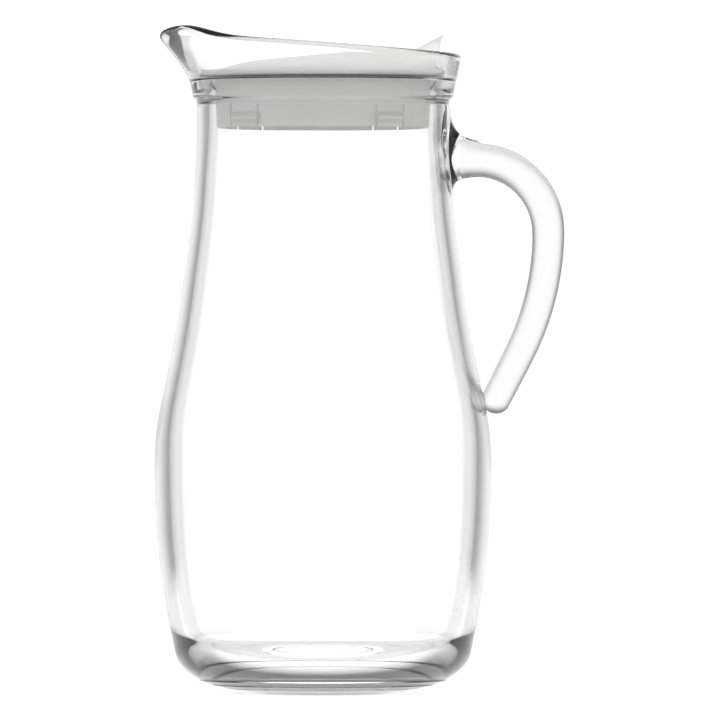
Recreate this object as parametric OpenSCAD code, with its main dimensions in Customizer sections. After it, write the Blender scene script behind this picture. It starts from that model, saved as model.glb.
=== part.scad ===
// Large glass water jug with a fused glass rod handle and a lift-off plastic lid.
// Millimetres. The origin is the centre of the flat foot, +Z is up,
// the spout points along -X and the handle along +X.

/* [Glass body] */
// Radius of the flat foot that the jug stands on
foot_r = 26; // [24:0.5:28]
// Largest outer radius of the belly
belly_r = 67.5; // [66:0.5:69]
// Height of the widest part of the belly
belly_z = 85; // [80:1:90]
// Outer radius of the neck
neck_r = 50.6; // [50.2:0.2:51.4]
// Height at which the shoulder has become the straight neck
neck_z = 222; // [218:1:226]
// Thickness of the glass at the middle of the floor
floor_t = 7.8; // [6:0.2:9]
// Thickness of the glass in the belly
belly_wall = 6; // [5:0.2:6.6]

/* [Collar and spout] */
// Height of the rounded step where the collar starts
collar_z = 237.4; // [236:0.2:239]
// Height of the inner ledge that carries the lid
ledge_z = 246.5; // [246:0.1:247]
// Radius of the neck's bore, just under the ledge
bore_r = 45.7; // [45.6:0.1:46.2]
// Height of the slanted rim where it crosses the jug's axis
rim_z = 260; // [259:0.5:262]
// Angle of the slanted rim, which falls towards the handle
rim_tilt = 4.1; // [3.5:0.2:4.9]
// Lean of the spout's lower edge from upright
spout_lean = 32; // [29:0.5:34]
// Half of the angle that the spout opens by
spout_flare = 25; // [22:0.5:28]
// Thickness of the spout's wall
spout_wall = 3; // [2.4:0.2:3.6]

/* [Handle] */
// Radius of the glass rod
rod_r = 6.45; // [6:0.1:7]
// Height at which the rod leaves the neck
root_z = 213.4; // [211:0.2:215]
// Radius of the rod's upper bend, to its centre line
bend_r = 28.6; // [27:0.2:30]
// Radius of the long lower curve, to its centre line
sweep_r = 108; // [104:1:112]
// Angle of the long lower curve
sweep_angle = 27; // [26:0.5:28]
// Length of the straight tail below the long curve
tail_len = 20.2; // [19:0.2:22]
// Radius of the rounded tail end, which is fused to the belly
tail_r = 5.9; // [5.6:0.1:6.2]

/* [Lid] */
// Radius of the lid's flange
flange_r = 48; // [47.6:0.1:48.4]
// Thickness of the flange at its edge
flange_t = 2.2; // [1.8:0.1:2.6]
// Outer radius of the skirt at its top
skirt_top_r = 43.5; // [43:0.1:44]
// Outer radius of the skirt at its lower edge
skirt_low_r = 42.4; // [42:0.1:42.8]
// Thickness of the skirt and the top plate
lid_wall = 1.6; // [1.2:0.1:2]
// Height of the skirt, below the flange
skirt_h = 20.7; // [18:0.1:24]
// Height of the top plate's crest above the flange, at the jug's axis
crest_h = 4.8; // [4:0.1:6]
// Angle by which the crest climbs towards the handle
crest_tilt = 4.6; // [3.6:0.2:5]
// Height of the thumb tab's tip above the flange's underside
tab_h = 16.6; // [15:0.2:18]
// Width of the thumb tab
tab_w = 26; // [20:1:32]

/* [Snap fingers] */
// Distance of the two front fingers' middle from the lid's centre, towards the spout
front_finger_x = 30.2; // [28:0.1:31]
// Distance of the two rear fingers' middle from the lid's centre, towards the handle
rear_finger_x = 25.8; // [24:0.1:28]
// Distance between the middles of a finger's two slits
finger_w = 10.2; // [8:0.1:11]
// Length of the slits beside each finger
finger_len = 8.4; // [7:0.1:10]
// Width of a slit
slit_w = 0.6; // [0.5:0.1:1]
// Radius of the grip ridge's crest on a finger
grip_r = 45.3; // [44.6:0.1:45.3]

/* [Seal] */
// Thickness of the seal between the ledge and the flange
seal_t = 0.8; // [0.6:0.1:1]
// Width of the seal's ring
seal_w = 1.7; // [1.4:0.1:2]

/* [Pour slots] */
// Number of slots through the front of the lid
slot_count = 5; // [3:2:7]
// Width of one slot
slot_w = 2.6; // [2:0.1:3]
// Distance from one slot to the next
slot_pitch = 4.8; // [4.4:0.1:5.2]

/* [Hidden] */
$fn = 96;
FINGERS = [1, 2, 3, 4];

GLASS = [0.86, 0.93, 0.95, 0.45];
WHITE = [0.95, 0.95, 0.94];
BLACK = [0.12, 0.12, 0.13];

curve_steps = 3;          // straight steps between two points of a smooth outline
top_z = rim_z + 11;       // the glass outlines run on to here before the rim is cut
far = 100;                // reaches well past the jug on every side
over = 1;                 // a cutting solid runs past the face that it cuts by this much
gap = 0.1;                // running gap between faces that slide on each other
base_top = 10;            // the glass is cut into base, body and collar at this height
collar_bottom = 240;      // and at this one, above the rounded step
groove_r = 20;            // middle of the shallow mould groove in the foot
groove_w = 1.2;           // half of the groove's width at the foot
groove_floor = 0.5;       // half of its width at its deepest
groove_t = 0.6;           // how deep it is
ledge_r = 49;             // where the ledge meets the wall above it
collar_step = 1.8;        // radius of the rounded step where the collar starts
collar_lean = 12;         // lean of the collar's outer wall above the mould line
mould_z = ledge_z - 1.1;  // the mould line, where the collar starts to open
mould_r = neck_r + collar_step + 1;

// Shoulder outline: [part of the way up, part of the belly's extra radius that is left, wall]
shoulder = [
    [0, 1, belly_wall], [0.155, 0.947, 5.3], [0.295, 0.728, 4.6], [0.47, 0.456, 4.45],
    [0.645, 0.249, 4.25], [0.785, 0.107, 4.2], [0.925, 0.03, 4.4], [1, 0, 4.6]
];
// Heel outline: [how far inside the belly's radius, height]
heel = [[28.3, 2.2], [18.4, 5.4], [11.6, 10.2], [8.7, 15], [7.3, 21], [5.5, 29.4], [3.1, 43.8], [1, 62]];
// Inside of the heel: [how far inside the belly's radius, height above the floor]
inner_heel = [[31.1, 2], [22.5, 5], [17.9, 8.2], [14.3, 13.6], [11.7, 21.6]];

// The smooth curve's point between b and c, at t from 0 to 1, with a and d as its other neighbours
function curve_point(a, b, c, d, t) =
    0.5 * (2 * b + (c - a) * t + (2 * a - 5 * b + 4 * c - d) * t * t + (3 * b - a - 3 * c + d) * t * t * t);

// A smooth curve through the points p
function smooth(p) = [
    for (i = [0:len(p) - 2], k = [0:curve_steps - 1])
        curve_point(p[max(i - 1, 0)], p[i], p[i + 1], p[min(i + 2, len(p) - 1)], k / curve_steps),
    p[len(p) - 1]
];

function shoulder_z(s) = belly_z + s[0] * (neck_z - belly_z);
function shoulder_r(s) = neck_r + s[1] * (belly_r - neck_r);

outer_curve = smooth(concat(
    [[foot_r + 1.6, 0.6]],
    [for (h = heel) [belly_r - h[0], h[1]]],
    [for (s = shoulder) [shoulder_r(s), shoulder_z(s)]],
    [[neck_r, collar_z - 2]]
));
inner_curve = smooth(concat(
    [[0, floor_t], [20, floor_t + 0.3]],
    [for (h = inner_heel) [belly_r - h[0], floor_t + h[1]]],
    [for (h = [heel[6], heel[7]]) [belly_r - h[0] - belly_wall, h[1]]],
    [for (s = shoulder) [shoulder_r(s) - s[2], shoulder_z(s)]],
    [[bore_r, collar_z]]
));

// Spout: a cone whose outer edge leans along the spout's lower edge, from spout_foot upwards
spout_foot = [-51.6, 238.6];
spout_foot_r = 2;
spout_axis_lean = spout_lean - spout_flare;
spout_h = 34;
tip_x = -65.9;

// Rim outline over the spout: [place along X, height above the slanted rim line]
spout_brim = [[-37, 0.2], [-43, 1.3], [-48.5, 2.9], [-54, 3.6], [-58.5, 2.4], [-62.5, 0], [tip_x, -3.5]];

function rim_line(x) = rim_z - x * tan(rim_tilt);

// Handle centre line: straight root, upper bend, long sweep, straight tail
bend_x = 61.6;
rod_thinning = 0.1;       // the hot rod thins by this much from one run to the next
bend_z = root_z - bend_r;
sweep_x = bend_x + bend_r - sweep_r;
tail_start = [sweep_x + sweep_r * cos(sweep_angle), bend_z - sweep_r * sin(sweep_angle)];
tail_end = tail_start - tail_len * [sin(sweep_angle), cos(sweep_angle)];
root_x = 46;              // the root starts inside the neck's wall, before the body is cut from it
// Flare of the root: [place along X, radius]
root_flare = [[root_x, 14.5], [51, 13.2], [52.2, 11.4], [53.8, 9.6], [56, 8.2], [59, 7.2],
              [bend_x, rod_r + rod_thinning]];

seal_r = bore_r + 0.2;    // the seal's inner radius

// Lid heights and outlines
flange_z = ledge_z + seal_t + gap;
flange_top = flange_z + flange_t;
skirt_z = flange_z - skirt_h;
crest_z = flange_top + crest_h;
vault_r = 110;            // radius of the top plate's arch, across the lid
front_cut = [-46, -38];   // the front chamfer, at the flange's underside and at its top
front_rise = 3;           // how far the chamfer climbs between the two
slot_start = -44.6;
slot_end = -33;
slot_depth = 6;           // how far the slots run down the skirt
tab_reach = 48.2;         // radius of the tab's curved back
tab_z = flange_z + tab_h; // height of the tab's tip
// Side view of the tab: front foot, front top, tip, under the tip, back foot
tab_outline = [[34, flange_top], [34, tab_z - 7], [tab_reach + over, tab_z + 0.6],
               [tab_reach + over, tab_z - 0.2], [tab_reach - 2.6, tab_z - 6.6], [tab_reach - 3, flange_top]];
finger_z = skirt_z + finger_len;
relief_r = 0.6;           // radius of the round relief at the top of a slit
ridge_h = 4.4;            // height of the grip ridge's upper slope

// The places of the fingers: [middle along X, side of the lid]
finger_at = [[-front_finger_x, -1], [rear_finger_x, -1], [-front_finger_x, 1], [rear_finger_x, 1]];

function skirt_r(z) = skirt_low_r + (skirt_top_r - skirt_low_r) * (z - skirt_z) / skirt_h;

// The solid inside the glass body's outer surface, with no spout
module body_outer() {
    groove = [[groove_r - groove_w, 0], [groove_r - groove_floor, groove_t],
              [groove_r + groove_floor, groove_t], [groove_r + groove_w, 0]];
    step = [for (a = [0:30:90]) [neck_r + collar_step * (1 - cos(a)), collar_z + collar_step * sin(a)]];
    rotate_extrude()
        polygon(concat(
            [[0, 0]], groove, [[foot_r, 0]], outer_curve, step,
            [[mould_r, mould_z], [mould_r + (top_z - mould_z) * tan(collar_lean), top_z], [0, top_z]]
        ));
}

// The hollow of the glass body, with no spout
module body_inner() {
    rotate_extrude()
        polygon(concat(
            inner_curve,
            [[bore_r, ledge_z], [ledge_r, ledge_z],
             [ledge_r + (top_z - ledge_z) * tan(collar_lean), top_z + over], [0, top_z + over]]
        ));
}

// The spout's cone, drawn inwards by t
module spout_cone(t) {
    shift = t / cos(spout_flare);
    rise = shift > spout_foot_r ? (shift - spout_foot_r + 0.5) / tan(spout_flare) : 0;
    translate([spout_foot[0], 0, spout_foot[1]])
        rotate([0, -spout_axis_lean, 0])
            translate([spout_foot_r, 0, rise])
                cylinder(h = spout_h - rise,
                         r1 = spout_foot_r - shift + rise * tan(spout_flare),
                         r2 = spout_foot_r - shift + spout_h * tan(spout_flare));
}

// Everything above the rim and the spout's brim
module above_rim() {
    brim = smooth([for (b = spout_brim) [b[0], rim_line(b[0]) + b[1]]]);
    rotate([90, 0, 0])
        linear_extrude(height = 2 * far, center = true)
            polygon(concat([[far, top_z + far], [far, rim_line(far)]], brim,
                           [[-far, brim[len(brim) - 1][1]], [-far, top_z + far]]));
}

// A slab of space between two heights
module slab(low, high) {
    translate([-far, -far, low])
        cube([2 * far, 2 * far, high - low]);
}

// Thick base of the glass body, with its flat foot
module vessel_base() {
    color(GLASS)
        difference() {
            body_outer();
            body_inner();
            slab(base_top, top_z + over);
        }
}

// Belly, shoulder and neck of the glass body
module vessel_body() {
    color(GLASS)
        difference() {
            body_outer();
            body_inner();
            slab(-over, base_top);
            slab(collar_bottom, top_z + over);
        }
}

// Collar of the glass body, with its inner ledge, slanted rim and spout
module vessel_collar() {
    color(GLASS)
        difference() {
            union() {
                body_outer();
                spout_cone(0);
            }
            body_inner();
            slab(-over, collar_bottom);
            intersection() {
                spout_cone(spout_wall);
                slab(ledge_z, ledge_z + far);
            }
            above_rim();
        }
}

// An arc of rod with radius rod_r, around the Y axis through [x, z], from angle a to b above the horizontal
module rod_arc(x, z, r, a, b, rod_r) {
    translate([x, 0, z])
        rotate([90, 0, 0])
            rotate([0, 0, a])
                rotate_extrude(angle = b - a)
                    translate([r, 0])
                        circle(r = rod_r);
}

// Solid glass rod, fused to the neck at its root and to the belly at its tail
module handle() {
    color(GLASS)
        difference() {
            union() {
                translate([0, 0, root_z])
                    rotate([0, 90, 0])
                        rotate_extrude()
                            polygon(concat([[0, root_x]],
                                           [for (p = root_flare) [p[1], p[0]]],
                                           [[0, bend_x]]));
                rod_arc(bend_x, bend_z, bend_r, 0, 90, rod_r);
                rod_arc(sweep_x, bend_z, sweep_r, -sweep_angle, 0, rod_r - rod_thinning);
                translate([tail_end[0], 0, tail_end[1]])
                    rotate([0, sweep_angle, 0])
                        rotate_extrude()
                            polygon(concat([for (a = [-90:15:0]) tail_r * [cos(a), sin(a)]],
                                           [[rod_r - 2 * rod_thinning, tail_len], [0, tail_len]]));
            }
            body_outer();
        }
}

// Flat ring of soft seal that lies on the ledge, under the flange
module seal_ring() {
    color(BLACK)
        translate([0, 0, ledge_z + gap / 2])
            difference() {
                cylinder(h = seal_t, r = seal_r + seal_w);
                translate([0, 0, -over])
                    cylinder(h = seal_t + 2 * over, r = seal_r);
            }
}

// The arched top's solid, drawn inwards by t: a long cylinder that climbs towards the handle
module vault(t) {
    translate([0, 0, crest_z - vault_r / cos(crest_tilt)])
        rotate([0, 90 - crest_tilt, 0])
            cylinder(h = 3 * far, r = vault_r - t, center = true, $fn = 256);
}

// What the front chamfer takes off the flange and the arched top
module front_chamfer() {
    slope = front_rise / (front_cut[1] - front_cut[0]);
    rotate([90, 0, 0])
        linear_extrude(height = 2 * far, center = true)
            polygon([[-far, flange_z - over], [front_cut[0], flange_z - over], [front_cut[0], flange_z],
                     [front_cut[0] + far, flange_z + far * slope], [-far, flange_z + far * slope]]);
}

// The slots that let water out through the front of the lid and hold ice back
module pour_slots() {
    for (i = [0:slot_count - 1])
        translate([slot_start, (i - (slot_count - 1) / 2) * slot_pitch - slot_w / 2, flange_z - slot_depth])
            cube([slot_end - slot_start, slot_w, slot_depth + flange_t + 2 * over]);
}

// Flange and arched top plate, with the front chamfer and the pour slots
module lid_plate() {
    color(WHITE)
        difference() {
            union() {
                translate([0, 0, flange_z])
                    cylinder(h = flange_t, r = flange_r);
                intersection() {
                    translate([0, 0, flange_z])
                        cylinder(h = far, r = flange_r - 1);
                    vault(0);
                }
            }
            intersection() {
                translate([0, 0, flange_z - over])
                    cylinder(h = far, r = skirt_top_r - lid_wall);
                union() {
                    vault(lid_wall);
                    translate([0, 0, flange_z - over])
                        cylinder(h = over + flange_t - lid_wall, r = flange_r);
                }
            }
            front_chamfer();
            pour_slots();
        }
}

// A tapered ring of the skirt, between two heights
module skirt_ring(low, high) {
    rotate_extrude()
        polygon([[skirt_r(low) - lid_wall, low], [skirt_r(low), low],
                 [skirt_r(high), high], [skirt_r(high) - lid_wall, high]]);
}

// The space that finger f takes, w wide, from below the lid up to z
module finger_space(f, w, z) {
    translate([f[0] - w / 2, f[1] > 0 ? 0 : -far, skirt_z - over])
        cube([w, far, z - skirt_z + over]);
}

// The tapered plug skirt, with a gap and two round reliefs for each finger
module lid_skirt() {
    color(WHITE)
        difference() {
            skirt_ring(skirt_z, flange_z);
            for (f = finger_at) {
                finger_space(f, finger_w + slit_w, finger_z);
                for (end = [-1, 1])
                    translate([f[0] + end * finger_w / 2, f[1] * far / 2, finger_z])
                        rotate([90, 0, 0])
                            cylinder(h = far, r = relief_r, center = true);
            }
            pour_slots();
        }
}

// Springy tongue of the skirt, with a grip ridge that faces the neck's bore
module snap_finger(i) {
    ridge_foot_r = skirt_low_r - lid_wall / 3;
    color(WHITE)
        intersection() {
            union() {
                skirt_ring(skirt_z, finger_z);
                rotate_extrude()
                    polygon([[ridge_foot_r, skirt_z + 1], [grip_r, skirt_z + 3], [grip_r, skirt_z + 4],
                             [ridge_foot_r, skirt_z + 2 + ridge_h]]);
            }
            finger_space(finger_at[i - 1], finger_w - slit_w, finger_z);
        }
}

// Raised tab at the handle side, for the thumb
module thumb_tab() {
    color(WHITE)
        difference() {
            intersection() {
                rotate([90, 0, 0])
                    linear_extrude(height = tab_w, center = true)
                        polygon(tab_outline);
                cylinder(h = 4 * far, r = tab_reach);
            }
            vault(0);
        }
}

vessel_base();
vessel_body();
vessel_collar();
handle();
seal_ring();
lid_plate();
lid_skirt();
thumb_tab();
for (i = FINGERS) snap_finger(i);
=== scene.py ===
"""Large glass water jug with a glass rod handle and a white lift-off lid.

Outlines are in millimetres in the row's own frame: the origin is the centre of the foot, +Z is up, the
spout points along -X and the handle along +X. Meshes are scaled to metres as they are made.
"""
import math

import bmesh
import bpy
import numpy as np
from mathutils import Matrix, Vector


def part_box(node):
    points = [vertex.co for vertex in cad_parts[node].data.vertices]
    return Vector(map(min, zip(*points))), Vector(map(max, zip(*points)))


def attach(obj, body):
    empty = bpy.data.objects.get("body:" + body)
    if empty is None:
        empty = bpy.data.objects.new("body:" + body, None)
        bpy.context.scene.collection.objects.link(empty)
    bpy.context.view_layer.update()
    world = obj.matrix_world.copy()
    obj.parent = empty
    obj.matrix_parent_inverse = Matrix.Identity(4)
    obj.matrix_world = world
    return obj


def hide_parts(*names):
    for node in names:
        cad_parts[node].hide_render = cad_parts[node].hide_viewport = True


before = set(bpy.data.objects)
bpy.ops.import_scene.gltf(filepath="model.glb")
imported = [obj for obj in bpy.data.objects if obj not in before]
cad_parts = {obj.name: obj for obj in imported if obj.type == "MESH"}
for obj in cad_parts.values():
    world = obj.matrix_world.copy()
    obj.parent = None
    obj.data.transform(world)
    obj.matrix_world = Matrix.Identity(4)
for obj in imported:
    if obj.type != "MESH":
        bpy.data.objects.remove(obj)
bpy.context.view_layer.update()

MM = 0.001


# ---------------------------------------------------------------- frame sizes
def node_box_mm(node):
    """The lowest and highest corners of a CAD node, in millimetres."""
    low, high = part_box(node)
    return np.array(low) / MM, np.array(high) / MM


GLASS_NODES = ("vessel_base", "vessel_body", "vessel_collar", "handle")
BODY_HIGH = node_box_mm("vessel_body")[1]
PLATE_LOW, PLATE_HIGH = node_box_mm("lid_plate")
SEAL_LOW, SEAL_HIGH = node_box_mm("seal_ring")
TAB_HIGH = node_box_mm("thumb_tab")[1]

BELLY_R = BODY_HIGH[1]
BELLY_Z = 85.0          # height of the belly's widest part
NECK_R = 50.6
NECK_Z = 222.0          # the shoulder has become the straight neck here
FLOOR_T = 7.8           # thickness of the glass floor
FOOT_R = 26.0           # radius of the flat foot
GROOVE_R = 20.0         # radius of the shallow mould groove in it
COLLAR_Z = 237.4        # the rounded step where the collar starts
COLLAR_R = 53.5         # the collar's outer radius at COLLAR_R_Z
COLLAR_R_Z = 245.4
COLLAR_OPENING = 0.215  # how much the collar's radius grows for each mm of height
LEDGE_Z = SEAL_LOW[2]   # the inner ledge that carries the lid
LEDGE_R = 49.0
BORE_R = 45.7           # the neck's bore under the ledge
RIM_Z = 260.0           # height of the slanted rim at the jug's axis
RIM_TOP = 2.0           # the rim's rounded edge is this high
RIM_FALL = 0.0712       # how much the rim falls for each mm towards the handle
RIM_WALL = 4.0


# ---------------------------------------------------------------- curve tools
def spline(points, count):
    """A smooth curve (natural cubic, even in second derivative) through the points, as count points."""
    p = np.array(points, float)
    t = np.concatenate([[0], np.cumsum(np.linalg.norm(np.diff(p, axis=0), axis=1))])
    n = len(p)
    h = np.diff(t)
    matrix = np.eye(n)
    right = np.zeros_like(p)
    for i in range(1, n - 1):
        matrix[i, i - 1:i + 2] = h[i - 1], 2 * (h[i - 1] + h[i]), h[i]
        right[i] = 6 * ((p[i + 1] - p[i]) / h[i] - (p[i] - p[i - 1]) / h[i - 1])
    bend = np.linalg.solve(matrix, right)
    at = np.linspace(0, t[-1], count)
    k = np.clip(np.searchsorted(t, at, side="right") - 1, 0, n - 2)
    a = (t[k + 1] - at)[:, None]
    b = (at - t[k])[:, None]
    w = h[k][:, None]
    return (bend[k] * a ** 3 + bend[k + 1] * b ** 3) / (6 * w) \
        + (p[k] / w - bend[k] * w / 6) * a + (p[k + 1] / w - bend[k + 1] * w / 6) * b


def arc(centre, radius, start, end, count):
    """Points along a circular arc, from angle start to angle end in degrees."""
    a = np.radians(np.linspace(start, end, count))
    return np.stack([centre[0] + radius * np.cos(a), centre[1] + radius * np.sin(a)], 1)


def line(start, end, count):
    """Points evenly along a straight line."""
    return np.linspace(start, end, count)


def full_turn(count):
    """Angles evenly round a circle, in radians."""
    return np.arange(count) * 2 * np.pi / count


def join(*runs):
    """Runs of points as one run, without the points that repeat where two runs meet."""
    p = np.concatenate([np.array(r, float) for r in runs])
    keep = np.concatenate([[True], np.linalg.norm(np.diff(p, axis=0), axis=1) > 1e-4])
    return p[keep]


def smoothstep(x):
    """0 below 0, 1 above 1, smooth between."""
    x = np.clip(x, 0, 1)
    return x * x * (3 - 2 * x)


# ---------------------------------------------------------------- mesh tools
def mesh_object(name, points, faces, smooth=True):
    """A mesh object from points in millimetres."""
    mesh = bpy.data.meshes.new(name)
    mesh.from_pydata((np.asarray(points) * MM).tolist(), [], [list(f) for f in faces])
    mesh.update()
    mesh.validate()
    if smooth:
        mesh.polygons.foreach_set("use_smooth", [True] * len(mesh.polygons))
    piece = bpy.data.objects.new(name, mesh)
    bpy.context.scene.collection.objects.link(piece)
    return piece


def ring_faces(rings, around, first_pole, last_pole):
    """Faces of a stack of closed rings, whose ends are closed by a pole point each."""
    faces = []
    for i in range(rings - 1):
        a, b = i * around, (i + 1) * around
        for j in range(around):
            k = (j + 1) % around
            faces.append((a + j, a + k, b + k, b + j))
    last = (rings - 1) * around
    for j in range(around):
        k = (j + 1) % around
        faces.append((first_pole, k, j))
        faces.append((last_pole, last + j, last + k))
    return faces


def apply_modifiers(piece):
    """Turns the piece's modifiers into its mesh."""
    bpy.context.view_layer.update()
    done = bpy.data.meshes.new_from_object(piece.evaluated_get(bpy.context.evaluated_depsgraph_get()))
    piece.modifiers.clear()
    piece.data = done


def boolean(piece, other, operation):
    """Joins or cuts the piece with another closed mesh, which is then removed."""
    step = piece.modifiers.new("boolean", "BOOLEAN")
    step.operation = operation
    step.solver = "EXACT"
    step.object = other
    apply_modifiers(piece)
    bpy.data.objects.remove(other)


def outward(piece):
    """Makes all the faces of a closed mesh point outwards."""
    work = bmesh.new()
    work.from_mesh(piece.data)
    bmesh.ops.recalc_face_normals(work, faces=work.faces)
    work.to_mesh(piece.data)
    work.free()


def shade_by_angle(piece, degrees):
    """Smooth shading, with sharp edges where faces meet at more than this angle."""
    work = bmesh.new()
    work.from_mesh(piece.data)
    for face in work.faces:
        face.smooth = True
    for edge in work.edges:
        edge.smooth = len(edge.link_faces) == 2 and edge.calc_face_angle(0) < math.radians(degrees)
    work.to_mesh(piece.data)
    work.free()


# ---------------------------------------------------------------- glass body
# Shoulder outline: (part of the way up, part of the belly's extra radius that is left, wall)
SHOULDER = [
    (0, 1, 6.0), (0.155, 0.947, 5.3), (0.295, 0.728, 4.6), (0.47, 0.456, 4.45),
    (0.645, 0.249, 4.25), (0.785, 0.107, 4.2), (0.925, 0.03, 4.4), (1, 0, 4.6),
]
# Heel outline: (how far inside the belly's radius, height)
HEEL = [(28.3, 2.2), (18.4, 5.4), (11.6, 10.2), (8.7, 15), (7.3, 21), (5.5, 29.4), (3.1, 43.8), (1, 62)]
# Inside of the heel: (how far inside the belly's radius, height above the floor)
INNER_HEEL = [(31.1, 2), (22.5, 5), (17.9, 8.2), (14.3, 13.6), (11.7, 21.6)]

MOULD_RINGS = (1.9, 3.3, 5.2)    # heights of the fine rings that the mould leaves round the heel
RING_DEPTH, RING_HALF = 0.9, 0.35
SLANT_Z = 247.2                  # the collar starts to follow the rim's slant here
SPOUT_REACH = 8.4                # how far the spout's tip stands out past the rim's circle
SPOUT_FOOT_Z = 243.0             # where the spout starts to swell out of the collar
SPOUT_TIP_Z = 261.2
SPOUT_CURVE = 1.75               # 1 would give the spout a straight lower edge
SPOUT_WIDTH = 11.0               # distance from the middle at which the spout has fallen to a third
THIN_LIP = 0.45                  # part of the wall that is left out at the lip
WING_LIFT, WING_REACH = 4.2, 38  # height of the raised wings beside the lip, and where they end
LIP_DROP, LIP_REACH = 7.4, 8.0   # depth of the lip between them, and half its width in degrees
WING_AT, WING_WIDTH = 34, 16     # where the wings are thickest, in degrees from the lip
THICK_WING = 0.2                 # how much thicker the wall is there
WING_ROLL = 0.25                 # how far the wings roll outwards, for each mm above the lip
BODY_AROUND = 288


def collar_radius(z):
    """The collar's outer radius at a height."""
    return COLLAR_R + (z - COLLAR_R_Z) * COLLAR_OPENING


def shoulder_points():
    """The shoulder's outer outline as (r, z), from the belly up to the neck."""
    return [(NECK_R + left * (BELLY_R - NECK_R), BELLY_Z + up * (NECK_Z - BELLY_Z))
            for up, left, _ in SHOULDER]


def foot_outline():
    """From the axis out to the foot's edge, with the mould groove."""
    return join([(1, 0)], line((4, 0), (GROOVE_R - 1.4, 0), 8),
                spline([(GROOVE_R - 1.4, 0), (GROOVE_R - 0.6, 0.45),
                        (GROOVE_R + 0.6, 0.45), (GROOVE_R + 1.4, 0)], 9),
                line((GROOVE_R + 1.4, 0), (FOOT_R - 0.6, 0), 6))


def outer_outline():
    """From the foot's edge up the outside and over the rounded rim."""
    outer = spline([(FOOT_R - 0.6, 0), (FOOT_R + 1.6, 0.45)] + [(BELLY_R - a, z) for a, z in HEEL]
                   + shoulder_points() + [(NECK_R, COLLAR_Z - 4)], 420)
    for z in MOULD_RINGS:
        outer[:, 0] += RING_DEPTH * np.exp(-((outer[:, 1] - z) / RING_HALF) ** 2)
    step = spline([(NECK_R, COLLAR_Z - 3.5), (NECK_R + 0.05, COLLAR_Z - 0.8),
                   (NECK_R + 0.75, COLLAR_Z + 0.4), (NECK_R + 1.6, COLLAR_Z + 1.2),
                   (collar_radius(COLLAR_Z + 2.6), COLLAR_Z + 2.6)], 26)
    ledge_r, rim_r = collar_radius(LEDGE_Z), collar_radius(RIM_Z - RIM_TOP)
    wall = join(line(step[-1], (ledge_r, LEDGE_Z), 8),
                line((ledge_r, LEDGE_Z), (rim_r, RIM_Z - RIM_TOP), 14))
    half_wall = RIM_WALL / 2
    over = np.linspace(0, np.pi, 19)
    bead = np.stack([rim_r - half_wall + half_wall * np.cos(over),
                     RIM_Z - RIM_TOP + RIM_TOP * np.sin(over)], 1)
    return join(outer, step, wall, bead)


def inner_outline(rim_inside):
    """From the rim's inside down over the ledge and the bore to the middle of the floor."""
    inside = line(rim_inside, (LEDGE_R + 0.1, LEDGE_Z + 0.3), 14)
    ledge = join(spline([(LEDGE_R + 0.1, LEDGE_Z + 0.3), (LEDGE_R, LEDGE_Z + 0.05),
                         (LEDGE_R - 0.25, LEDGE_Z)], 6),
                 line((LEDGE_R - 0.25, LEDGE_Z), (BORE_R + 0.7, LEDGE_Z), 5),
                 spline([(BORE_R + 0.7, LEDGE_Z), (BORE_R + 0.15, LEDGE_Z - 0.15),
                         (BORE_R, LEDGE_Z - 0.8)], 8))
    shoulder = [(r - part[2], z) for (r, z), part in zip(shoulder_points(), SHOULDER)]
    lower = [(BELLY_R - HEEL[i][0] - SHOULDER[0][2], HEEL[i][1]) for i in (7, 6)] \
        + [(BELLY_R - a, FLOOR_T + z) for a, z in INNER_HEEL[::-1]] + [(20, FLOOR_T + 0.3), (1, FLOOR_T)]
    inner = spline([(BORE_R, LEDGE_Z - 0.8), (BORE_R, COLLAR_Z + 4)] + shoulder[::-1] + lower, 230)
    return join(inside, ledge, inner)


def outline():
    """The glass body's closed outline as (r, z), from under the foot round to the floor, with a label
    on each point: how much of the rim's slant it takes, from 0 at the ledge to 1 on the rim."""
    outer = outer_outline()
    points = join(foot_outline(), outer, inner_outline(outer[-1]))
    slant = np.clip((points[:, 1] - SLANT_Z) / (RIM_Z - RIM_TOP - SLANT_Z), 0, 1)
    return points, slant


def soft_distance(y, softness):
    """The distance from the middle plane, rounded off near it."""
    return np.sqrt(y * y + softness * softness) - softness


def brim_lift(degrees):
    """Height of the rim above its slanted line, by angle from the spout: raised wings and a low lip."""
    wings = WING_LIFT * np.exp(-(degrees / WING_REACH) ** 3.5)
    lip = LIP_DROP * np.exp(-(soft_distance(degrees, 0.5) / LIP_REACH) ** 1.1)
    return wings - lip


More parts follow.
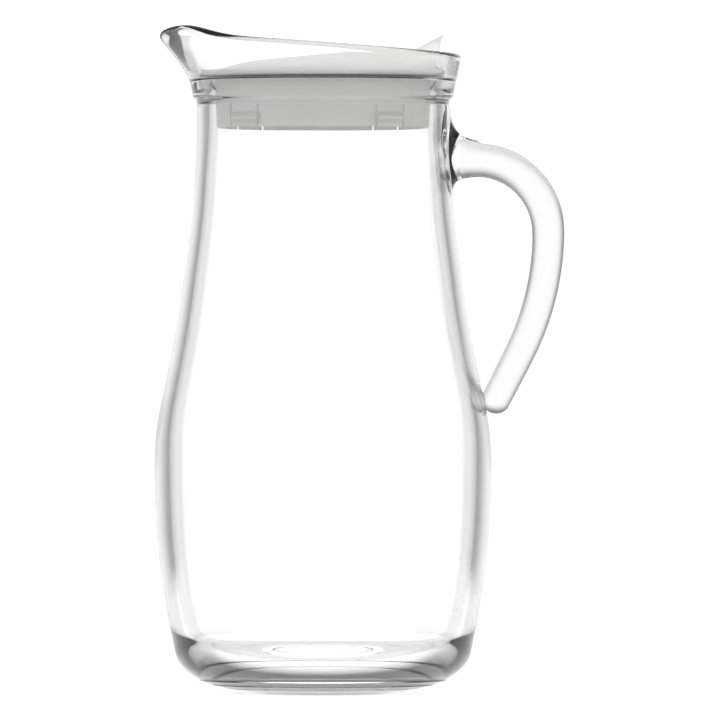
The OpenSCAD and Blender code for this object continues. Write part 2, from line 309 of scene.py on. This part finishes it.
def body_points(outline_points, slant):
    """The outline turned about the axis, with the slanted rim and the spout pulled out of it."""
    angle = full_turn(BODY_AROUND)
    r = outline_points[:, 0][:, None]
    z = outline_points[:, 1][:, None]
    from_spout = np.degrees(np.abs(angle - np.pi))
    y_rim = collar_radius(RIM_Z) * np.abs(np.sin(angle))
    y_rim[np.cos(angle) > 0] = 2 * collar_radius(RIM_Z)
    reach = np.exp(-(soft_distance(y_rim, 0.3) / SPOUT_WIDTH) ** 1.6)
    x_rim = collar_radius(RIM_Z) * np.cos(angle) - SPOUT_REACH * reach
    shift = slant[:, None] * (brim_lift(from_spout) - RIM_FALL * x_rim)[None, :]
    z_new = z + shift
    inward = np.clip(collar_radius(z) - r, 0, RIM_WALL) * slant[:, None]
    wing = np.exp(-((from_spout - WING_AT) / WING_WIDTH) ** 2)
    thinner = THIN_LIP * reach - THICK_WING * wing
    roll = WING_ROLL * np.clip(z_new - SPOUT_TIP_Z, 0, None) * wing
    r_new = r + shift * COLLAR_OPENING + inward * thinner + roll
    rise = np.clip((z_new - SPOUT_FOOT_Z) / (SPOUT_TIP_Z - SPOUT_FOOT_Z), 0, None)
    pull = rise ** SPOUT_CURVE * (z > SPOUT_FOOT_Z)
    x = r_new * np.cos(angle) - SPOUT_REACH * pull * reach
    y = r_new * np.sin(angle)
    return np.stack([x, y, z_new], 2)


def glass_body():
    """The blown body as one closed skin."""
    points, slant = outline()
    grid = body_points(points[1:-1], slant[1:-1])
    flat = grid.reshape(-1, 3)
    poles = np.array([[0, 0, points[0][1]], [0, 0, points[-1][1]]])
    faces = ring_faces(len(grid), BODY_AROUND, len(flat), len(flat) + 1)
    body = mesh_object("glass_jug", np.concatenate([flat, poles]), faces)
    outward(body)
    return body


# ---------------------------------------------------------------- glass handle
ROOT_Z = 213.4                                    # the rod leaves the neck at this height
BEND_X, BEND_R = 61.6, 28.6                       # where the upper bend starts, and its radius
SWEEP_R, SWEEP_DEGREES = 108.0, 27.0              # the long lower curve
TAIL_LENGTH, TAIL_R = 20.2, 5.9                   # the straight tail, with its rounded end
ROD_PLACES = [0, 0.25, 0.45, 0.7, 0.85, 1]        # parts of the way along the rod
ROD_RADII = [6.8, 6.75, 6.45, 6.25, 6.1, TAIL_R]  # and its radius there
ROOT_SPREAD = 1.2                                 # how much wider the root is to its sides
ROOT_UP, ROOT_DOWN = 14.8, 6.3                    # and how much more above and below
ROD_AROUND = 72

OUTER_CURVE = spline(shoulder_points() + [(NECK_R, COLLAR_Z)], 200)


def body_radius(z):
    """The glass body's outer radius at a height, between the belly and the collar."""
    return np.interp(z, OUTER_CURVE[:, 1], OUTER_CURVE[:, 0])


def handle_line():
    """The rod's centre line from the root to the tail's end, with its direction and radius."""
    bend_z = ROOT_Z - BEND_R
    sweep_x = BEND_X + BEND_R - SWEEP_R
    bend = arc((BEND_X, bend_z), BEND_R, 90, 0, 40)
    sweep = arc((sweep_x, bend_z), SWEEP_R, 0, -SWEEP_DEGREES, 40)
    down = np.radians(SWEEP_DEGREES)
    tail = line(sweep[-1], sweep[-1] - TAIL_LENGTH * np.array([np.sin(down), np.cos(down)]), 16)
    path = join(bend, sweep, tail)
    for _ in range(12):
        path[1:-1] = (path[:-2] + 2 * path[1:-1] + path[2:]) / 4
    length = np.concatenate([[0], np.cumsum(np.linalg.norm(np.diff(path, axis=0), axis=1))])
    even = np.linspace(0, length[-1], 110)
    path = np.stack([np.interp(even, length, path[:, 0]), np.interp(even, length, path[:, 1])], 1)
    way = np.gradient(path, axis=0)
    way /= np.linalg.norm(way, axis=1)[:, None]
    return path, way, np.interp(even / length[-1], ROD_PLACES, ROD_RADII)


def root_rings():
    """Rings of the root's flare, from inside the neck's wall out to the rod's first bend."""
    around = full_turn(ROD_AROUND)
    up, down = np.clip(np.cos(around), 0, 1), np.clip(-np.cos(around), 0, 1)
    spread = ROOT_SPREAD + ROOT_UP * up ** 2.2 + ROOT_DOWN * down ** 2.2
    sharp = 0.7 + 1.7 * up + 0.7 * down
    first_x = body_radius(ROOT_Z)
    sizes = [(depth, (ROD_RADII[0] + spread + 0.9) * part)
             for depth, part in ((-2.4, 0.25), (-1.6, 0.7), (-0.35, 1.0))]
    for t in np.linspace(0.04, 1, 44):
        depth = (BEND_X - first_x) * t ** 2
        sizes.append((depth, ROD_RADII[0] + spread * np.exp(-(depth / sharp) ** 0.68)))
    rings = []
    for depth, rho in sizes:
        side, z = rho * np.sin(around), ROOT_Z + rho * np.cos(around)
        wrap = side / first_x
        radial = body_radius(z) + depth
        bent = np.stack([radial * np.cos(wrap), radial * np.sin(wrap), z], 1)
        flat = np.stack([np.full(ROD_AROUND, first_x + depth), side, z], 1)
        blend = smoothstep(depth / 8.0)
        rings.append(bent * (1 - blend) + flat * blend)
    return rings


def rod_ring(centre, way, radius):
    """Points round the rod at a place on its centre line."""
    around = full_turn(ROD_AROUND)
    x = centre[0] - radius * np.cos(around) * way[1]
    z = centre[1] + radius * np.cos(around) * way[0]
    return np.stack([x, radius * np.sin(around), z], 1)


def glass_handle():
    """The solid rod with its flared root and its rounded tail, as one closed skin."""
    path, way, radius = handle_line()
    rings = root_rings() + [rod_ring(*place) for place in list(zip(path, way, radius))[1:]]
    end, way_end = path[-1], way[-1]
    for a in np.radians(np.linspace(8, 82, 11)):
        rings.append(rod_ring(end + way_end * TAIL_R * np.sin(a), way_end, TAIL_R * np.cos(a)))
    tip = end + way_end * TAIL_R
    poles = np.array([[body_radius(ROOT_Z) - 2.6, 0, ROOT_Z], [tip[0], 0, tip[1]]])
    points = np.concatenate(rings + [poles])
    faces = ring_faces(len(rings), ROD_AROUND, len(points) - 2, len(points) - 1)
    handle = mesh_object("glass_handle", points, faces)
    outward(handle)
    return handle


# ---------------------------------------------------------------- seal
def seal_band():
    """The soft seal, which fills the ledge under the lid's flange."""
    low, high = SEAL_LOW[2], SEAL_HIGH[2] + 0.05
    inner, outer = BORE_R + 0.2, LEDGE_R - 0.12
    round_r = 0.2
    profile = join(arc((inner + round_r, low + round_r), round_r, 180, 270, 5),
                   arc((outer - round_r, low + round_r), round_r, 270, 360, 5),
                   arc((outer - round_r, high - round_r), round_r, 0, 90, 5),
                   arc((inner + round_r, high - round_r), round_r, 90, 180, 5))
    points = [(r * math.cos(a), r * math.sin(a), z) for a in full_turn(BODY_AROUND) for r, z in profile]
    count = len(profile)
    faces = []
    for i in range(BODY_AROUND):
        this, following = i * count, (i + 1) % BODY_AROUND * count
        for j in range(count):
            k = (j + 1) % count
            faces.append((this + j, following + j, following + k, this + k))
    band = mesh_object("seal_band", points, faces)
    outward(band)
    return band


# ---------------------------------------------------------------- lid top
CREST_Z = 254.4                 # the top plate's crest at the jug's axis
CREST_SLOPE = 0.0805            # how much the crest climbs for each mm towards the tab
PLATE_R = PLATE_HIGH[1]
PLATE_TOP = PLATE_LOW[2] + 2.2  # the top of the flange
PLATE_T = 1.6                   # thickness of the arched top
HOLLOW_R = 41.6                 # radius of the hollow under it
CHAMFER_X = (-46.5, -29.0)      # the arched top rises out of the flange between these two
REAR_X = (44.6, 47.6)           # and falls back to it between these two
TAB_LENGTH = 13.6               # from the tab's front foot to its tip
TAB_FLAT = 9.0                  # half of the tab's width at its full height
TAB_FOOT = 17.0                 # half of its width at the plate
TAB_ROUND = 0.35                # radius of its tip
TAB_SUNK = 0.15                 # how far its foot goes down into the plate
SLOT_PITCH, SLOT_W = 4.8, 2.6
SLOT_X = (-44.6, -33.0)


def plate_z(x, y):
    """Height of the lid's arched top, which meets the flange all the way round."""
    half = np.sqrt(np.clip((PLATE_R - 0.8) ** 2 - x * x, 1e-3, None))
    arch = np.clip(1 - (y / half) ** 2, 0, 1) ** 0.85
    front = smoothstep((x - CHAMFER_X[0]) / (CHAMFER_X[1] - CHAMFER_X[0])) ** 0.6
    rear = 1 - smoothstep((x - REAR_X[0]) / (REAR_X[1] - REAR_X[0]))
    return PLATE_TOP + (CREST_Z + CREST_SLOPE * x - PLATE_TOP) * arch * front * rear


def plate_loop(x):
    """The lid top's closed outline across the lid at x."""
    half = math.sqrt(max(PLATE_R ** 2 - x * x, 0.04))
    edge = min(0.5, half / 2)
    even = np.sin(np.linspace(-np.pi / 2, np.pi / 2, 61))
    y_top = even * (half - edge)
    top = np.stack([y_top, plate_z(x, y_top)], 1)
    side = np.array([[half, PLATE_TOP - 0.5], [half, PLATE_LOW[2] + 0.4]])
    y_low = -even * (half - edge * 0.6)
    hollow = smoothstep((HOLLOW_R - np.hypot(x, y_low)) / 0.6)
    z_low = PLATE_LOW[2] + hollow * np.clip(plate_z(x, y_low) - PLATE_T - PLATE_LOW[2], 0, None)
    low = np.stack([y_low, z_low], 1)
    loop = np.concatenate([top, side, low, side[::-1] * [-1, 1]])
    return np.column_stack([np.full(len(loop), x), loop])


def slot_cutter(middle):
    """A block that cuts one pour slot, middle away from the lid's centre line."""
    corners = [(x, middle + side * SLOT_W / 2, z)
               for x in SLOT_X for side in (-1, 1) for z in (PLATE_LOW[2] - 3, PLATE_HIGH[2] + 3)]
    faces = [(0, 1, 3, 2), (4, 6, 7, 5), (0, 4, 5, 1), (2, 3, 7, 6), (0, 2, 6, 4), (1, 5, 7, 3)]
    cutter = mesh_object("slot_cut", corners, faces, smooth=False)
    outward(cutter)
    return cutter


def lid_top():
    """Flange and arched top in one moulding, with the pour slots at the front."""
    rings = [plate_loop(x) for x in (PLATE_R - 0.02) * np.sin(np.linspace(-np.pi / 2, np.pi / 2, 141))]
    points = np.concatenate(rings + [np.array([rings[0].mean(0), rings[-1].mean(0)])])
    faces = ring_faces(len(rings), len(rings[0]), len(points) - 2, len(points) - 1)
    top = mesh_object("lid_top", points, faces)
    outward(top)
    for i in (-2, -1, 0, 1, 2):
        boolean(top, slot_cutter(i * SLOT_PITCH), "DIFFERENCE")
    shade_by_angle(top, 35)
    return top


def tab_profile():
    """The tab's closed side outline as (x, height above the plate), from its front foot over the tip."""
    tip_x = TAB_HIGH[0] - TAB_ROUND
    tip_up = TAB_HIGH[2] - (CREST_Z + CREST_SLOPE * TAB_HIGH[0]) - TAB_ROUND
    front = spline([(tip_x - TAB_LENGTH, 0), (tip_x - TAB_LENGTH + 2.5, 0.55),
                    (tip_x - 6, 2.7), (tip_x, tip_up)], 26)
    tip = arc((tip_x, tip_up), TAB_ROUND, 120, -20, 8)
    back = spline([tip[-1], (tip_x - 0.9, tip_up - 2.4), (tip_x - 2.1, 0.6), (tip_x - 2.2, -0.6)], 14)
    return join(front, tip, back, line(back[-1], (tip_x - TAB_LENGTH, -0.6), 10))


def soft_tab():
    """The thumb tab, which swells out of the top plate with soft flanks."""
    profile = tab_profile()
    across = TAB_FOOT * np.sin(np.linspace(-np.pi / 2, np.pi / 2, 65)) * 0.999
    rings = []
    for y in across:
        part = 1 - smoothstep((abs(y) - TAB_FLAT) / (TAB_FOOT - TAB_FLAT))
        x = profile[:, 0] - (TAB_HIGH[0] - math.sqrt(TAB_HIGH[0] ** 2 - y * y))
        up = np.where(profile[:, 1] > 0, profile[:, 1] * part, profile[:, 1])
        base = plate_z(np.minimum(x, REAR_X[0]), y)
        rings.append(np.stack([x, np.full(len(x), y), base + up - TAB_SUNK], 1))
    ends = [rings[0].mean(0), rings[-1].mean(0)]
    points = np.concatenate(rings + [np.array(ends)])
    faces = ring_faces(len(rings), len(profile), len(points) - 2, len(points) - 1)
    tab = mesh_object("soft_thumb_tab", points, faces)
    outward(tab)
    return tab


# ---------------------------------------------------------------- materials
GLASS_IOR = 1.51
WALL_PAINTED_SHADE = 0.62                      # painted shade of the glass where its wall turns away from view
WALL_START, WALL_END = 0.57, 0.63     # how far it has turned where the painted shade starts and is full
HEEL_PAINTED_SHADE = 0.03                      # painted shade for the thick heel, the same way
HEEL_START, HEEL_END = 0.16, 0.40
# These four are in metres, as shaders see them
HEEL_LOW, HEEL_HIGH = 0.012, 0.028    # the heel's painted shade fades out between these heights
HEEL_INNER_R = 0.0525                 # the jug's hollow lies inside this radius
HEEL_FLOOR_Z = 0.0076                 # and above this height
ROD_IOR = 1.27
ROD_ROUGHNESS = 0.10
ROD_TINT, ROD_EDGE_SHADE = 0.87, 0.66  # tint of the rod where it faces the view, and painted shade at its edges
ROD_EDGE_END = 0.55                   # how far it has turned where the edge's painted shade is full
ROD_START_X = 54.5                    # mm: the rod's softer skin begins here, past its flared root


class Maths:
    """Short calls for shader maths in one node tree."""

    def __init__(self, tree):
        self.tree = tree

    def __call__(self, operation, *values):
        node = self.tree.nodes.new("ShaderNodeMath")
        node.operation = operation
        for socket, value in zip(node.inputs, values):
            if isinstance(value, (int, float)):
                socket.default_value = value
            else:
                self.tree.links.new(value, socket)
        return node.outputs[0]

    def step(self, value, start, end):
        """0 below start, 1 above end, smooth between."""
        node = self.tree.nodes.new("ShaderNodeMapRange")
        node.interpolation_type = "SMOOTHSTEP"
        self.tree.links.new(value, node.inputs["Value"])
        node.inputs["From Min"].default_value = start
        node.inputs["From Max"].default_value = end
        return node.outputs["Result"]

    def mix(self, factor, low, high):
        """low where factor is 0, high where it is 1."""
        return self("MULTIPLY_ADD", factor, self("SUBTRACT", high, low), low)

    def below(self, value, start, end):
        """1 below start, 0 above end, smooth between."""
        return self("SUBTRACT", 1.0, self.step(value, start, end))

    def distance(self, x, y):
        """The distance from the axis."""
        return self("SQRT", self("ADD", self("POWER", x, 2.0), self("POWER", y, 2.0)))


def material(name):
    """A new material with nodes, its Principled shader and its node tree."""
    made = bpy.data.materials.new(name)
    made.use_nodes = True
    nodes = made.node_tree.nodes
    return made, nodes["Principled BSDF"], made.node_tree


def coordinates(tree, kind="Object"):
    """The x, y and z of the point that is shaded."""
    where = tree.nodes.new("ShaderNodeTexCoord")
    split = tree.nodes.new("ShaderNodeSeparateXYZ")
    tree.links.new(where.outputs[kind], split.inputs["Vector"])
    return split.outputs


def noise(tree, scale, detail=3.0):
    """A noise texture on the object's own coordinates, with scale in features per metre."""
    where = tree.nodes.new("ShaderNodeTexCoord")
    texture = tree.nodes.new("ShaderNodeTexNoise")
    texture.inputs["Scale"].default_value = scale
    texture.inputs["Detail"].default_value = detail
    texture.inputs["Roughness"].default_value = 0.5
    tree.links.new(where.outputs["Object"], texture.inputs["Vector"])
    return texture.outputs["Fac"]


def ramp(tree, value, low, high):
    """A colour between low, where the value is under 0.3, and high, where it is over 0.7."""
    node = tree.nodes.new("ShaderNodeValToRGB")
    node.color_ramp.elements[0].position = 0.3
    node.color_ramp.elements[0].color = (*low, 1)
    node.color_ramp.elements[1].position = 0.7
    node.color_ramp.elements[1].color = (*high, 1)
    tree.links.new(value, node.inputs["Fac"])
    return node.outputs["Color"]


def bump(tree, shader, height, distance, strength):
    """Fine relief in the shader's normal, distance deep in metres."""
    node = tree.nodes.new("ShaderNodeBump")
    node.inputs["Distance"].default_value = distance
    node.inputs["Strength"].default_value = strength
    tree.links.new(height, node.inputs["Height"])
    tree.links.new(node.outputs["Normal"], shader.inputs["Normal"])


def evenness(m):
    """A faint variation in the glass, close below 1."""
    return m("MULTIPLY_ADD", noise(m.tree, 14), 0.012, 0.988)


def painted_edge_shade(m, even, centre, edge, start, end):
    """A painted shade: a grey in the glass's colour that deepens where the surface turns away from view.
    """
    facing = m.tree.nodes.new("ShaderNodeLayerWeight").outputs["Facing"]
    return m("MULTIPLY", even, m.mix(m.step(facing, start, end), centre, edge))


def heel_shade_mask(m):
    """Where the heel's painted shade goes: 1 on the outside of the heel, 0 on the rest of the glass."""
    x, y, z = coordinates(m.tree)
    outside = m("MAXIMUM", m.step(m.distance(x, y), HEEL_INNER_R - 0.002, HEEL_INNER_R),
                m.below(z, HEEL_FLOOR_Z - 0.001, HEEL_FLOOR_Z))
    return m("MULTIPLY", outside, m.below(z, HEEL_LOW, HEEL_HIGH))


def glass_material():
    """Clear blown glass, with painted shade where its wall and its thick heel turn away from view."""
    made, shader, tree = material("clear_glass")
    shader.inputs["Transmission Weight"].default_value = 1.0
    shader.inputs["IOR"].default_value = GLASS_IOR
    shader.inputs["Roughness"].default_value = 0.0
    m = Maths(tree)
    even = evenness(m)
    # painted shade: the wall and the heel are darkened in the glass's colour where they turn away from
    # view
    wall = painted_edge_shade(m, even, 1.0, WALL_PAINTED_SHADE, WALL_START, WALL_END)
    heel = painted_edge_shade(m, even, 1.0, HEEL_PAINTED_SHADE, HEEL_START, HEEL_END)
    # the heel's darker painted shade takes the place of the wall's on the outside of the heel
    tree.links.new(m.mix(heel_shade_mask(m), wall, heel), shader.inputs["Base Color"])
    bump(tree, shader, noise(tree, 30, detail=1.0), 0.0004, 0.12)
    return made


def rod_material():
    """The drawn rod: softer than the blown body, with a faintly uneven skin and painted shade at its
    edges.
    """
    made, shader, tree = material("drawn_glass_rod")
    shader.inputs["Transmission Weight"].default_value = 1.0
    shader.inputs["IOR"].default_value = ROD_IOR
    shader.inputs["Roughness"].default_value = ROD_ROUGHNESS
    m = Maths(tree)
    # painted shade: the rod's colour darkens towards its edges as they turn away from view
    tint = painted_edge_shade(m, evenness(m), ROD_TINT, ROD_EDGE_SHADE, 0.0, ROD_EDGE_END)
    tree.links.new(tint, shader.inputs["Base Color"])
    bump(tree, shader, noise(tree, 60, detail=2.0), 0.0003, 0.15)
    return made


def lid_material():
    """White moulded plastic, semi-gloss, with a fine grain."""
    made, shader, tree = material("white_moulded_plastic")
    shader.inputs["IOR"].default_value = 1.49
    tint = ramp(tree, noise(tree, 40), (0.80, 0.80, 0.79), (0.84, 0.84, 0.835))
    tree.links.new(tint, shader.inputs["Base Color"])
    gloss = ramp(tree, noise(tree, 90), (0.32, 0.32, 0.32), (0.42, 0.42, 0.42))
    tree.links.new(gloss, shader.inputs["Roughness"])
    bump(tree, shader, noise(tree, 2500, detail=2.0), 0.00003, 0.25)
    return made


def seal_material():
    """Near black and matt, for the band under the lid's flange."""
    made, shader, tree = material("near_black_band")
    tint = ramp(tree, noise(tree, 60), (0.012, 0.012, 0.013), (0.03, 0.03, 0.032))
    tree.links.new(tint, shader.inputs["Base Color"])
    rough = ramp(tree, noise(tree, 200), (0.5, 0.5, 0.5), (0.65, 0.65, 0.65))
    tree.links.new(rough, shader.inputs["Roughness"])
    return made


def floor_material():
    """A pale matt light table, with a painted pool of light round the foot, which fades into the backdrop
    away from the jug.
    """
    made, shader, tree = material("pale_floor")
    m = Maths(tree)
    x, y, _ = coordinates(tree)
    distance = m.distance(x, y)
    tree.links.new(m("MULTIPLY_ADD", noise(tree, 1.2), 0.03, 0.90), shader.inputs["Base Color"])
    shader.inputs["Roughness"].default_value = 0.9
    shader.inputs["Specular IOR Level"].default_value = 0.0
    shader.inputs["Emission Color"].default_value = (1, 1, 1, 1)
    # painted pool of light: the floor glows brighter round the foot
    near = m.below(distance, GLOW_FROM, GLOW_TO)
    tree.links.new(m.mix(near, TABLE_GLOW, FOOT_LIGHT_POOL), shader.inputs["Emission Strength"])
    tree.links.new(m.below(distance, FLOOR_SOLID_R, FLOOR_R), shader.inputs["Alpha"])
    return made


# ---------------------------------------------------------------- stage
# Lengths here are in metres
CAMERA_DISTANCE = 6.5
VIEW_WIDTH = 0.288               # width of what the camera sees at the jug
EYE_Z = 0.172
AIM = Vector((0.0148, 0.0, 0.1334))
FLOOR_R = 0.6
FLOOR_SOLID_R = 0.25             # past this radius the floor fades into the backdrop
TABLE_GLOW = 0.3                 # the floor glows as a light table, with a painted pool of light round the foot
FOOT_LIGHT_POOL = 0.72
GLOW_FROM, GLOW_TO = 0.09, 0.17  # the painted pool of light fades out between these radii


def camera():
    """A long lens, a little above the middle of the jug."""
    data = bpy.data.cameras.new("camera")
    data.lens = data.sensor_width * CAMERA_DISTANCE / VIEW_WIDTH
    data.clip_end = 100
    eye = bpy.data.objects.new("camera", data)
    bpy.context.scene.collection.objects.link(eye)
    eye.location = (AIM.x, -CAMERA_DISTANCE, EYE_Z)
    eye.rotation_euler = (AIM - eye.location).to_track_quat("-Z", "Y").to_euler()
    bpy.context.scene.camera = eye


def floor():
    """The round floor that the jug stands on."""
    around = np.radians(np.arange(0, 360, 5))
    points = np.stack([np.cos(around), np.sin(around), 0 * around], 1) * FLOOR_R / MM
    made = mesh_object("floor", points, [range(len(points))], smooth=False)
    made.data.materials.append(floor_material())


BACK_WHITE = 1.15   # the white screen behind the jug
FLAG_GREY = 0.28    # the dark flags to both sides of the screen
SIDE_GREY = 0.80    # the soft boxes past the flags
TOP_BACK = 0.30     # the dark above the screen
BELOW_WHITE = 0.95  # the sweep below the screen
FRONT_GREY = 0.90   # the room in front
TOP_FRONT = 1.7     # the broad soft light above the front
# Where each of these fades into the next, in parts of the way to the side, up or forwards
FLAG_FADE = (0.28, 0.74)
SIDE_FADE = (0.68, 0.84)
TOP_FADE = (0.12, 0.55)
BELOW_FADE = (-0.32, -0.08)
TOP_FRONT_FADE = (0.30, 0.70)
BACK_FADE = (-0.12, 0.12)


def studio_world():
    """A soft studio: a white screen behind with a flag on each side, and a soft light above the front."""
    world = bpy.data.worlds.new("studio")
    bpy.context.scene.world = world
    world.use_nodes = True
    tree = world.node_tree
    m = Maths(tree)
    x, y, z = coordinates(tree, "Generated")
    level = m("SQRT", m("MAXIMUM", m("SUBTRACT", 1.0, m("POWER", z, 2.0)), 1e-6))
    sideways = m("DIVIDE", m("ABSOLUTE", x), level)
    back = m.mix(m.step(sideways, *FLAG_FADE), BACK_WHITE, FLAG_GREY)
    back = m.mix(m.step(sideways, *SIDE_FADE), back, SIDE_GREY)
    back = m.mix(m.step(z, *TOP_FADE), back, TOP_BACK)
    back = m.mix(m.step(z, *BELOW_FADE), BELOW_WHITE, back)
    front = m.mix(m.step(z, *TOP_FRONT_FADE), FRONT_GREY, TOP_FRONT)
    light = m.mix(m.step(y, *BACK_FADE), front, back)
    background = tree.nodes["Background"]
    tree.links.new(light, background.inputs["Strength"])
    background.inputs["Color"].default_value = (1, 1, 1, 1)


# ---------------------------------------------------------------- assembly
def on_rod(point):
    """Whether a point of the fused glass lies on the handle's rod, past its root."""
    outside = math.hypot(point.x, point.y) > body_radius(point.z) + 0.3
    return point.x > ROD_START_X and point.z < COLLAR_Z and outside


def main():
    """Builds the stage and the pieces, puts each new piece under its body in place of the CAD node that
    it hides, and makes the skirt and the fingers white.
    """
    bpy.context.scene.view_settings.view_transform = "Standard"
    camera()
    floor()
    studio_world()
    body = glass_body()
    handle = glass_handle()
    boolean(body, handle, "UNION")
    body.data.materials.clear()
    body.data.materials.append(glass_material())
    body.data.materials.append(rod_material())
    for face in body.data.polygons:
        face.use_smooth = True
        face.material_index = int(on_rod(face.center / MM))
    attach(body, "jug")
    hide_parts(*GLASS_NODES)
    white, black = lid_material(), seal_material()
    remade = ((lid_top(), "lid_plate", "lid", white), (soft_tab(), "thumb_tab", "lid", white),
              (seal_band(), "seal_ring", "seal", black))
    for piece, node, part, look in remade:
        piece.data.materials.clear()
        piece.data.materials.append(look)
        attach(piece, part)
        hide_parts(node)
    for name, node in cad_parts.items():
        if name.startswith(("lid_skirt", "snap_finger")):
            node.data.materials.clear()
            node.data.materials.append(white)


main()
